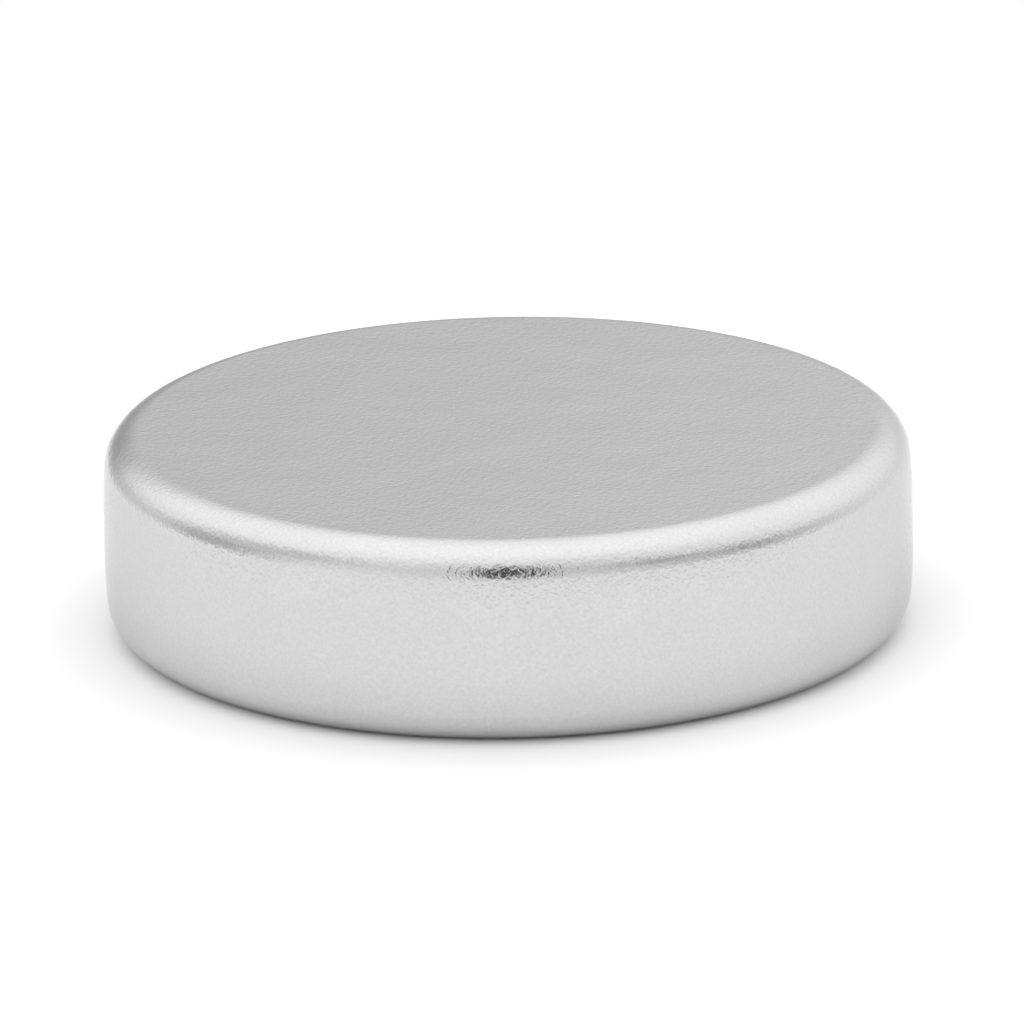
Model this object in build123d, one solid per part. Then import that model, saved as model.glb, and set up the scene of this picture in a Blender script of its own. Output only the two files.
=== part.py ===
from build123d import *
import os
from math import asin, cos, degrees, radians, sin

# Disc magnet: a sintered blank, ground flat on both pole faces and round on its rim, then tumbled
# until both rims are rounded, and plated. It is one piece, the same above and below its middle.
# Frame: origin at the middle of the lower pole face, +Z along the magnet's axis. Millimetres.

# Driving dimensions
magnet_diameter = 20.0
magnet_thickness = 5.0
edge_radius = 0.87  # rounding where the rim turns over into a pole face
rim_land_height = 1.2  # straight ground band that tumbling leaves round the middle of the rim
shoulder_radius = 14.0  # slow curve between that band and each rounding

# Section of the upper rim, as (distance from the axis, height)
rim_radius = magnet_diameter / 2
mid_height = magnet_thickness / 2
land_top = mid_height + rim_land_height / 2
land_bottom = mid_height - rim_land_height / 2
shoulder_centre = (rim_radius - shoulder_radius, land_top)

# The rounding touches the shoulder where both have the same normal, so its centre lies on the
# shoulder's own radius there, and one edge radius below the pole face
centre_distance = shoulder_radius - edge_radius
centre_rise = magnet_thickness - edge_radius - land_top
shoulder_turn = asin(centre_rise / centre_distance)
edge_centre = (
    shoulder_centre[0] + centre_distance * cos(shoulder_turn),
    shoulder_centre[1] + centre_distance * sin(shoulder_turn),
)

# Directions in the section, in degrees from the rim's outward direction
outward = 0.0
upward = 90.0
shoulder_end = degrees(shoulder_turn)


def rim_outline():
    """The rim from the lower pole face's edge to the upper one's: rounding, shoulder and land."""
    shoulder = CenterArc(shoulder_centre, shoulder_radius, outward, shoulder_end)
    rounding = CenterArc(edge_centre, edge_radius, shoulder_end, upward - shoulder_end)
    upper_curve = shoulder + rounding
    middle_plane = Plane(origin=(0, mid_height), z_dir=(0, 1, 0))
    lower_curve = mirror(upper_curve, about=middle_plane)
    land = Line((rim_radius, land_bottom), (rim_radius, land_top))
    return lower_curve + land + upper_curve


def pole_face_outline():
    """The two pole faces, from the roundings in to the axis, and the stretch of axis between them."""
    face_radius = edge_centre[0]
    return Polyline(
        (face_radius, 0),
        (0, 0),
        (0, magnet_thickness),
        (face_radius, magnet_thickness),
    )


def magnet_disc():
    """The whole magnet: its half section turned once round the axis."""
    half_section = make_face(rim_outline() + pole_face_outline())
    return revolve(Plane.XZ * half_section, axis=Axis.Z)


os.makedirs("parts", exist_ok=True)
export_step(magnet_disc(), "parts/magnet_disc.step")
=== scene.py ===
"""Looks of the disc magnet: one nickel-plated disc on white paper inside a plain light tent.

The solid's own facets are too coarse for a bright metal, which shows every one of them in its reflections.
So the disc is turned here once more, from the same sizes and with a finer section, and is dressed in its
plating.
"""

import logging
import math
from dataclasses import dataclass
from enum import Enum
from typing import Any

import bpy
from mathutils import Matrix, Vector


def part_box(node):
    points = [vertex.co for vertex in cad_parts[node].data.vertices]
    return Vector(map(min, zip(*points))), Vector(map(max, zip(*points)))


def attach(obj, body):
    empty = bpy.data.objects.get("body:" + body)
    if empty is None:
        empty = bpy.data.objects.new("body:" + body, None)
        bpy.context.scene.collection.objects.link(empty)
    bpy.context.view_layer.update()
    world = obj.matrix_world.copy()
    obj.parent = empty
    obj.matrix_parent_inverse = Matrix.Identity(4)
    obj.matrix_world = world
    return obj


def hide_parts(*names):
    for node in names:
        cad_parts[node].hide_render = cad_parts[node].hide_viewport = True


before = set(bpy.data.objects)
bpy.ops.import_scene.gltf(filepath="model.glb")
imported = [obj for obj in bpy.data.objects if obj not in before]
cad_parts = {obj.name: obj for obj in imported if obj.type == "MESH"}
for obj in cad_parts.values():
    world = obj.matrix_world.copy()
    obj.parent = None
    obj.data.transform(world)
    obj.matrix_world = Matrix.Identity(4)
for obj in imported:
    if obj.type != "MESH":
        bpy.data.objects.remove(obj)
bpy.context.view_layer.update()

MM = 0.001
DISC_NODE = "magnet_disc"
DISC_BODY = "root"
FULL_TURN = 2 * math.pi
QUARTER_TURN = FULL_TURN / 4
FULL_TURN_DEGREES = 360.0
WHITE = "FFFFFF"

log = logging.getLogger("disc_magnet")


class Pole(Enum):
    """The two pole faces, by the direction in which each one looks along the magnet's axis."""

    LOWER = -1
    UPPER = 1


def linear(hex_colour: str) -> tuple[float, float, float, float]:
    """Turns an sRGB colour into the linear one that Blender's sockets take.

    Args:
        hex_colour: Six hex digits, red, green and blue.

    Returns:
        Red, green, blue and a full alpha.
    """
    levels = [int(hex_colour[place:place + 2], 16) / 255 for place in (0, 2, 4)]
    toe, toe_slope, offset, power = 0.04045, 12.92, 0.055, 2.4
    red, green, blue = (
        level / toe_slope if level <= toe else ((level + offset) / (1 + offset)) ** power
        for level in levels
    )
    return red, green, blue, 1.0


def add_node(
    tree: bpy.types.NodeTree,
    kind: str,
    inputs: dict[str | int, Any] | None = None,
    **settings: Any,
) -> bpy.types.Node:
    """Adds one node with its settings and fills its inputs.

    Args:
        tree: The node tree that gets the node.
        kind: Blender's name for the kind of node.
        inputs: For an input's name or number, its value or the output that drives it.
        settings: The node's own options.

    Returns:
        The new node.
    """
    node = tree.nodes.new(kind)
    for option, value in settings.items():
        setattr(node, option, value)
    for place, value in (inputs or {}).items():
        if isinstance(value, bpy.types.NodeSocket):
            tree.links.new(value, node.inputs[place])
        else:
            node.inputs[place].default_value = value
    return node


def empty_material(name: str) -> bpy.types.Material:
    """Makes a material whose node tree is still empty.

    Args:
        name: The finish's plain name.

    Returns:
        The new material.
    """
    material = bpy.data.materials.new(name)
    material.use_nodes = True
    material.node_tree.nodes.clear()
    return material


@dataclass(frozen=True)
class NickelPlating:
    """Nickel, barrel plated over a tumbled magnet: a bright neutral metal with a fine pebbled skin.

    The skin is smooth from pebble to pebble, so it mirrors what is round it, but the pebbles break every
    edge in the reflection into short curls. Fine specks, some duller and a little rougher than the rest,
    give the satin look where all is evenly bright. Faint clouds and slow swells keep the broad faces from
    looking machine made.

    Pebbles and specks are as wide as the grain in the picture, where a millimetre is about 40 pixels. Grain
    finer than that doesn't show, and the roughness stands for it. All widths and heights are in metres.
    """

    name: str = "barrel plated nickel"
    bright_colour: str = "D3D3D3"
    dull_colour: str = "C1C1C1"
    grazing_tint: str = "ECECEC"
    roughness: float = 0.07
    grain_roughness: float = 0.20
    grain_start: float = 0.45
    grain_full: float = 0.80
    pebble_width: float = 0.09 * MM
    pebble_height: float = 0.0049 * MM
    broad_pebble_width: float = 0.12 * MM
    broad_pebble_height: float = 0.0065 * MM
    pebble_bend: float = 0.8
    swell_width: float = 1.6 * MM
    swell_height: float = 0.012 * MM
    cloud_width: float = 2.4 * MM
    cloud_detail: float = 3.0
    cloud_detail_share: float = 0.55
    speck_width: float = 0.07 * MM
    speck_share: float = 0.7
    pattern_turn: tuple[float, float, float] = (0.58, 0.37, 0.29)
    broad_pebble_turn: tuple[float, float, float] = (-0.41, 0.66, 1.13)

    def material(self) -> bpy.types.Material:
        """Builds the plating's nodes.

        Returns:
            The finished material.
        """
        material = empty_material(self.name)
        tree = material.node_tree
        place, turned_place = self._places(tree)
        clouds = add_node(
            tree,
            "ShaderNodeTexNoise",
            {
                "Vector": place,
                "Scale": 1 / self.cloud_width,
                "Detail": self.cloud_detail,
                "Roughness": self.cloud_detail_share,
            },
        ).outputs["Fac"]
        specks = add_node(
            tree,
            "ShaderNodeTexNoise",
            {"Vector": place, "Scale": 1 / self.speck_width, "Detail": 0.0},
        ).outputs["Fac"]
        dullness = add_node(tree, "ShaderNodeMix", {"Factor": self.speck_share, "A": clouds, "B": specks})
        colour = add_node(
            tree,
            "ShaderNodeMix",
            {
                "Factor": dullness.outputs["Result"],
                "A": linear(self.bright_colour),
                "B": linear(self.dull_colour),
            },
            data_type="RGBA",
        )
        roughness = add_node(
            tree,
            "ShaderNodeMapRange",
            {
                "Value": specks,
                "From Min": self.grain_start,
                "From Max": self.grain_full,
                "To Min": self.roughness,
                "To Max": self.grain_roughness,
            },
        )
        normal = self._skin(tree, place, turned_place)
        shader = add_node(
            tree,
            "ShaderNodeBsdfPrincipled",
            {
                "Base Color": colour.outputs["Result"],
                "Metallic": 1.0,
                "Specular Tint": linear(self.grazing_tint),
                "Roughness": roughness.outputs["Result"],
                "Normal": normal,
            },
        )
        add_node(tree, "ShaderNodeOutputMaterial", {"Surface": shader.outputs["BSDF"]})
        return material

    def _places(self, tree: bpy.types.NodeTree) -> list[bpy.types.NodeSocket]:
        """Turns the magnet's own axes, so that no pattern runs along the flat faces or the other pattern.

        Args:
            tree: The material's node tree.

        Returns:
            The point on the magnet, in metres, in the pattern's axes and in those of the broad pebbles.
        """
        point = add_node(tree, "ShaderNodeTexCoord").outputs["Object"]
        return [
            add_node(tree, "ShaderNodeMapping", {"Vector": point, "Rotation": turn}).outputs["Vector"]
            for turn in (self.pattern_turn, self.broad_pebble_turn)
        ]

    def _skin(
        self,
        tree: bpy.types.NodeTree,
        place: bpy.types.NodeSocket,
        turned_place: bpy.types.NodeSocket,
    ) -> bpy.types.NodeSocket:
        """Layers the skin's relief, from the slow swells of the tumbled blank to the plating's own pebbles.

        Args:
            tree: The material's node tree.
            place: The point on the magnet, in metres, in the pattern's axes.
            turned_place: The same point in the axes of the broad pebbles.

        Returns:
            The uneven surface's normal.
        """
        layers = (
            (place, self.swell_width, self.swell_height, 0.0),
            (turned_place, self.broad_pebble_width, self.broad_pebble_height, self.pebble_bend),
            (place, self.pebble_width, self.pebble_height, self.pebble_bend),
        )
        normal = None
        for axes, width, height, bend in layers:
            hills = add_node(
                tree,
                "ShaderNodeTexNoise",
                {"Vector": axes, "Scale": 1 / width, "Detail": 0.0, "Distortion": bend},
            )
            relief = {"Strength": 1.0, "Distance": height, "Height": hills.outputs["Fac"]}
            if normal is not None:
                relief["Normal"] = normal
            normal = add_node(tree, "ShaderNodeBump", relief).outputs["Normal"]
        return normal


@dataclass
class MagnetDisc:
    """The magnet itself, turned from its half section.

    The radius and the thickness are the frame's. The rim is ground straight in the middle and tumbled round
    towards both pole faces: a straight land, a slow shoulder and a tight rounding, each tangent to the
    next.
    """

    radius: float
    thickness: float
    edge_radius: float = 0.87 * MM
    land_height: float = 1.2 * MM
    shoulder_radius: float = 14.0 * MM
    flat_margin: float = 0.04 * MM
    face_rings: int = 5
    edge_steps: int = 28
    shoulder_steps: int = 6
    turn_steps: int = 400
    weld: float = 0.001 * MM

    @classmethod
    def from_frame(cls) -> "MagnetDisc":
        """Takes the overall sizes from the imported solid."""
        low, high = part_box(DISC_NODE)
        return cls(radius=(high.x - low.x) / 2, thickness=high.z - low.z)

    @property
    def shoulder_turn(self) -> float:
        """Angle through which the shoulder turns before the rounding takes over."""
        rise = self.thickness / 2 - self.land_height / 2 - self.edge_radius
        return math.asin(rise / (self.shoulder_radius - self.edge_radius))

    @property
    def face_radius(self) -> float:
        """Radius of the flat part of a pole face, which is where the rounding's centre stands."""
        reach = (self.shoulder_radius - self.edge_radius) * math.cos(self.shoulder_turn)
        return self.radius - self.shoulder_radius + reach

    def edge_centre(self, pole: Pole) -> Vector:
        """Centre of the rounding beside a pole face, in the section."""
        height = self.thickness / 2 + pole.value * (self.thickness / 2 - self.edge_radius)
        return Vector((self.face_radius, 0, height))

    def shoulder_centre(self, pole: Pole) -> Vector:
        """Centre of the shoulder on a pole's side of the land, in the section."""
        height = self.thickness / 2 + pole.value * self.land_height / 2
        return Vector((self.radius - self.shoulder_radius, 0, height))

    def build(self, finish: NickelPlating) -> bpy.types.Object:
        """Turns the disc and dresses it.

        Args:
            finish: The plating.

        Returns:
            The finished piece, riding on the magnet's body.
        """
        bpy.ops.object.select_all(action="DESELECT")
        bpy.ops.mesh.primitive_plane_add(size=self.edge_radius)
        disc = bpy.context.object
        disc.name = "plated_disc"
        bpy.ops.object.mode_set(mode="EDIT")
        self._draw_section()
        bpy.ops.mesh.select_all(action="SELECT")
        bpy.ops.mesh.spin(steps=self.turn_steps, angle=FULL_TURN, center=(0, 0, 0), axis=(0, 0, 1))
        bpy.ops.mesh.select_all(action="SELECT")
        bpy.ops.mesh.remove_doubles(threshold=self.weld)
        bpy.ops.mesh.normals_make_consistent(inside=False)
        bpy.ops.object.mode_set(mode="OBJECT")
        bpy.ops.object.shade_smooth()
        disc.data.materials.append(finish.material())
        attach(disc, DISC_BODY)
        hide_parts(DISC_NODE)
        return disc

    def _draw_section(self) -> None:
        """Draws the half section as one open line, from the lower pole face's middle to the upper one's."""
        bpy.ops.mesh.merge(type="CENTER")
        self._draw_pole_face(Pole.LOWER)
        edge_turn = QUARTER_TURN - self.shoulder_turn
        self._draw_arc(self.edge_centre(Pole.LOWER), edge_turn, self.edge_steps)
        self._draw_arc(self.shoulder_centre(Pole.LOWER), self.shoulder_turn, self.shoulder_steps)
        self._draw_line((0, 0, self.land_height))
        self._draw_arc(self.shoulder_centre(Pole.UPPER), self.shoulder_turn, self.shoulder_steps)
        self._draw_arc(self.edge_centre(Pole.UPPER), edge_turn, self.edge_steps)
        self._draw_pole_face(Pole.UPPER)

    def _draw_pole_face(self, pole: Pole) -> None:
        """Draws a pole face's line between the axis and the rounding, with a narrow flat ring at its edge.

        Args:
            pole: The lower face is drawn outwards, and the upper one inwards.
        """
        ring = (self.face_radius - self.flat_margin) / self.face_rings
        widths = [ring] * self.face_rings + [self.flat_margin]
        if pole is Pole.UPPER:
            widths.reverse()
        for width in widths:
            self._draw_line((-pole.value * width, 0, 0))

    def _draw_line(self, step: tuple[float, float, float]) -> None:
        """Draws the section on by one straight step.

        Args:
            step: From the line's end to its new end.
        """
        bpy.ops.mesh.extrude_region_move(TRANSFORM_OT_translate={"value": step})

    def _draw_arc(self, centre: Vector, turn: float, steps: int) -> None:
        """Draws the section on by one arc, anticlockwise as seen from the front.

        Args:
            centre: The arc's centre.
            turn: Angle of the arc.
            steps: Straight pieces that stand for it.
        """
        bpy.ops.mesh.spin(steps=steps, angle=turn, center=centre, axis=(0, 1, 0))


@dataclass(frozen=True)
class DarkGap:
    """A soft dark place in the tent's wall, as seen from the magnet. Angles are in degrees.

    Azimuth 0 is towards the camera, and it grows to the right of the picture. The fade is the power with
    which the gap ends: 2 is soft all over, and more makes the middle flatter and the edge crisper.
    """

    azimuth: float
    elevation: float
    half_width: float
    half_height: float
    depth: float
    fade: float = 2.0

    def loss(self, azimuth: float, elevation: float) -> float:
        """Share of the light that the gap takes in one direction.

        Args:
            azimuth: Direction round the magnet.
            elevation: Direction above the floor.

        Returns:
            From 0, nothing, to the gap's depth in its middle.
        """
        aside = abs(math.remainder(azimuth - self.azimuth, FULL_TURN_DEGREES)) / self.half_width
        above = abs(elevation - self.elevation) / self.half_height
        return self.depth * math.exp(-(aside**self.fade) - above**self.fade)


@dataclass(frozen=True)
class TentCloth:
    """White tent cloth, lit from above: it glows evenly, less towards the floor, and has darker gaps."""

    name: str = "lit tent cloth"
    attribute: str = "glow"
    horizon_level: float = 1.26
    top_level: float = 1.50
    top_elevation: float = 80.0
    gaps: tuple[DarkGap, ...] = (
        # Open front of the tent, and the slit for the lens in the middle of it
        DarkGap(azimuth=13, elevation=22, half_width=70, half_height=31, depth=0.33),
        DarkGap(azimuth=-0.7, elevation=19.5, half_width=9, half_height=17, depth=0.90, fade=4),
        # Folds beside the open front, two on the right and one on the left
        DarkGap(azimuth=45, elevation=19, half_width=14, half_height=8, depth=0.40),
        DarkGap(azimuth=70, elevation=11, half_width=10, half_height=8, depth=0.38),
        DarkGap(azimuth=-66, elevation=24, half_width=22, half_height=12, depth=0.30),
        # Right wall near the floor
        DarkGap(azimuth=80, elevation=5, half_width=36, half_height=12, depth=0.32),
        # Left wall near the floor
        DarkGap(azimuth=-90, elevation=7, half_width=21, half_height=16, depth=0.48),
        # Back wall, which the pole face mirrors, with its left corner and the foot of the cloth
        DarkGap(azimuth=-172, elevation=8, half_width=22, half_height=28, depth=0.38),
        DarkGap(azimuth=-158, elevation=12, half_width=14, half_height=14, depth=0.28),
        DarkGap(azimuth=-154, elevation=3, half_width=56, half_height=11, depth=0.30),
    )

    def level(self, direction: Vector) -> float:
        """Brightness of the cloth in one direction from the magnet.

        Args:
            direction: A vector of length 1.

        Returns:
            The brightness, where 1 is the white of the picture.
        """
        azimuth = math.degrees(math.atan2(direction.x, -direction.y))
        elevation = math.degrees(math.asin(direction.z))
        rise = min(max(elevation / self.top_elevation, 0.0), 1.0)
        level = self.horizon_level + (self.top_level - self.horizon_level) * rise
        for gap in self.gaps:
            level *= 1 - gap.loss(azimuth, elevation)
        return level

    def dress(self, dome: bpy.types.Object) -> None:
        """Gives every point of the dome its brightness, and the dome a material that glows with it.

        Args:
            dome: The tent's dome, with its middle at the magnet.
        """
        glow = dome.data.attributes.new(self.attribute, "FLOAT", "POINT")
        levels = [self.level(point.co.normalized()) for point in dome.data.vertices]
        glow.data.foreach_set("value", levels)
        material = empty_material(self.name)
        material.cycles.emission_sampling = "NONE"
        tree = material.node_tree
        level = add_node(tree, "ShaderNodeAttribute", attribute_name=self.attribute)
        light = add_node(tree, "ShaderNodeEmission", {"Strength": level.outputs["Fac"]})
        add_node(tree, "ShaderNodeOutputMaterial", {"Surface": light.outputs["Emission"]})
        dome.data.materials.append(material)


@dataclass(frozen=True)
class FloorPaper:
    """Plain white paper: matt, and bright enough in the tent's light to be the picture's white."""

    name: str = "white floor paper"
    colour: str = "F6F6F6"

    def material(self) -> bpy.types.Material:
        """Builds the paper.

        Returns:
            The finished material.
        """
        material = empty_material(self.name)
        tree = material.node_tree
        paper = add_node(tree, "ShaderNodeBsdfDiffuse", {"Color": linear(self.colour)})
        add_node(tree, "ShaderNodeOutputMaterial", {"Surface": paper.outputs["BSDF"]})
        return material


@dataclass(frozen=True)
class FrontLamp:
    """A wide soft lamp above the camera, which keeps the shadow on the paper close to the magnet's foot.

    It lights the paper alone: the plating mirrors the tent and not the lamp.
    """

    name: str = "front lamp"
    distance: float = 0.45
    elevation: float = math.radians(45)
    width: float = 0.9
    height: float = 0.25
    watts: float = 0.2

    def build(self) -> None:
        """Hangs the lamp in front of the magnet and aims it at the magnet's foot."""
        data = bpy.data.lights.new(self.name, "AREA")
        data.shape = "ELLIPSE"
        data.size = self.width
        data.size_y = self.height
        data.energy = self.watts
        lamp = bpy.data.objects.new(self.name, data)
        lamp.location.y = -self.distance * math.cos(self.elevation)
        lamp.location.z = self.distance * math.sin(self.elevation)
        lamp.rotation_euler.x = QUARTER_TURN - self.elevation
        lamp.visible_camera = False
        lamp.visible_glossy = False
        bpy.context.scene.collection.objects.link(lamp)


@dataclass
class LightTent:
    """The place in which the magnet is seen: a glowing dome over a round sheet of paper."""

    dome_radius: float = 0.7
    paper_radius: float = 40 * MM
    floor_gap: float = 0.01 * MM
    segments: int = 128
    rings: int = 64

    def build(self, paper: FloorPaper, cloth: TentCloth) -> None:
        """Sets up paper, dome and the white that the camera sees past them.

        Args:
            paper: The floor's finish.
            cloth: The dome's finish.
        """
        bpy.ops.object.select_all(action="DESELECT")
        bpy.ops.mesh.primitive_circle_add(
            vertices=self.segments,
            radius=self.paper_radius,
            fill_type="NGON",
            location=(0, 0, -self.floor_gap),
        )
        floor = bpy.context.object
        floor.name = "floor"
        floor.data.materials.append(paper.material())
        bpy.ops.object.select_all(action="DESELECT")
        bpy.ops.mesh.primitive_uv_sphere_add(
            segments=self.segments, ring_count=self.rings, radius=self.dome_radius
        )
        dome = bpy.context.object
        dome.name = "tent"
        cloth.dress(dome)
        dome.visible_camera = False
        world = bpy.data.worlds.new("white beyond the tent")
        world.use_nodes = True
        tree = world.node_tree
        tree.nodes.clear()
        white = add_node(tree, "ShaderNodeBackground", {"Color": linear(WHITE), "Strength": 1.0})
        add_node(tree, "ShaderNodeOutputWorld", {"Surface": white.outputs["Background"]})
        bpy.context.scene.world = world


@dataclass
class PhotoCamera:
    """The camera that took the picture: a long lens, not far above the floor and a little out of level."""

    distance: float = 300 * MM
    elevation: float = math.radians(17.84)
    roll: float = math.radians(-1.013)
    aim_right: float = 0.094 * MM
    aim_up: float = 0.236 * MM
    lens_mm: float = 426.46
    sensor_mm: float = 36.0
    near: float = 10 * MM
    far: float = 5.0

    def build(self, middle: Vector) -> bpy.types.Object:
        """Places the camera and makes it the scene's.

        Args:
            middle: The magnet's middle, which the camera circles.

        Returns:
            The camera.
        """
        backwards = Vector((0, -math.cos(self.elevation), math.sin(self.elevation)))
        right = Vector((1, 0, 0))
        up = backwards.cross(right)
        place = middle + self.distance * backwards
        look = (middle + self.aim_right * right + self.aim_up * up - place).normalized()
        level_right = look.cross(Vector((0, 0, 1))).normalized()
        turn = Matrix((level_right, level_right.cross(look), -look)).transposed()
        data = bpy.data.cameras.new("photo camera")
        data.lens = self.lens_mm
        data.sensor_width = self.sensor_mm
        data.clip_start = self.near
        data.clip_end = self.far
        camera = bpy.data.objects.new("photo camera", data)
        bpy.context.scene.collection.objects.link(camera)
        roll = Matrix.Rotation(self.roll, 3, "Z")
        camera.matrix_world = Matrix.Translation(place) @ (turn @ roll).to_4x4()
        bpy.context.scene.camera = camera
        return camera


def main() -> None:
    """Builds the magnet, the place round it and the camera."""
    logging.basicConfig(level=logging.INFO, format="%(name)s: %(message)s")
    bpy.context.scene.view_settings.view_transform = "Standard"
    disc = MagnetDisc.from_frame().build(NickelPlating())
    log.info("%s: %d faces", disc.name, len(disc.data.polygons))
    LightTent().build(FloorPaper(), TentCloth())
    FrontLamp().build()
    low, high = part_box(DISC_NODE)
    view = PhotoCamera()
    camera = view.build((low + high) / 2)
    log.info("%s: %.0f mm away", camera.name, view.distance / MM)


if __name__ == "__main__":
    main()
